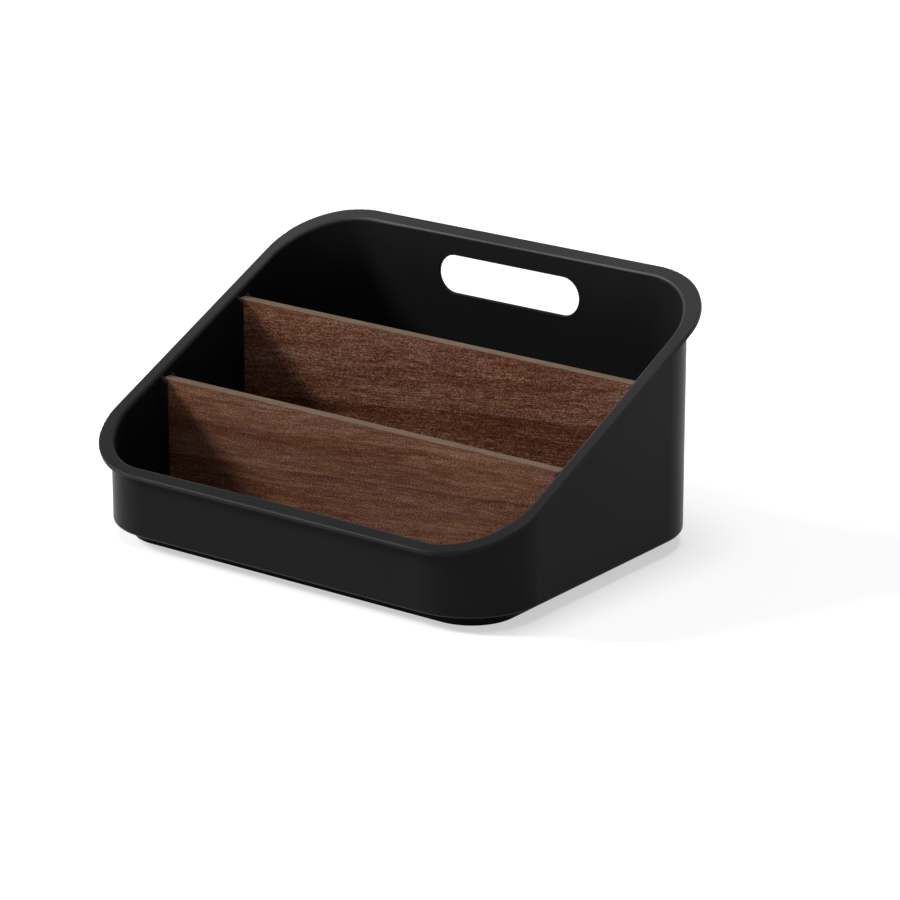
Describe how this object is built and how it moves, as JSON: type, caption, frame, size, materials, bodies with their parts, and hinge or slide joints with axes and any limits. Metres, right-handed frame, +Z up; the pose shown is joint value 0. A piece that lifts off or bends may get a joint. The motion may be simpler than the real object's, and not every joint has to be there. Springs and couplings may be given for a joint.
{
  "type": "countertop condiment caddy",
  "caption": "Sloped-top plastic caddy with rounded corners, a flanged rim, a hand slot in the back and lift-out wooden dividers.",
  "frame": {"origin": "centre of the footprint, on the surface the caddy stands on", "axes": "+X to the right along the low front edge, +Y from the low front to the high back, +Z up"},
  "size_m": [0.292, 0.2234, 0.1472],
  "materials": {
    "tub_plastic": "matte black moulded plastic, satin rather than glossy",
    "divider_wood": "dark walnut with a satin coat, paler cut edge on top"
  },
  "bodies": {
    "tub": {"caddy_tub": "tub_plastic"},
    "front_divider": {"front_divider": "divider_wood"},
    "rear_divider": {"rear_divider": "divider_wood"}
  },
  "joints": [
    {"name": "front_divider_lift", "type": "slide", "parent": "tub", "child": "front_divider", "axis": [0, 0, 1], "range_m": [0, 0.075]},
    {"name": "rear_divider_lift", "type": "slide", "parent": "tub", "child": "rear_divider", "axis": [0, 0, 1], "range_m": [0, 0.105]}
  ]
}
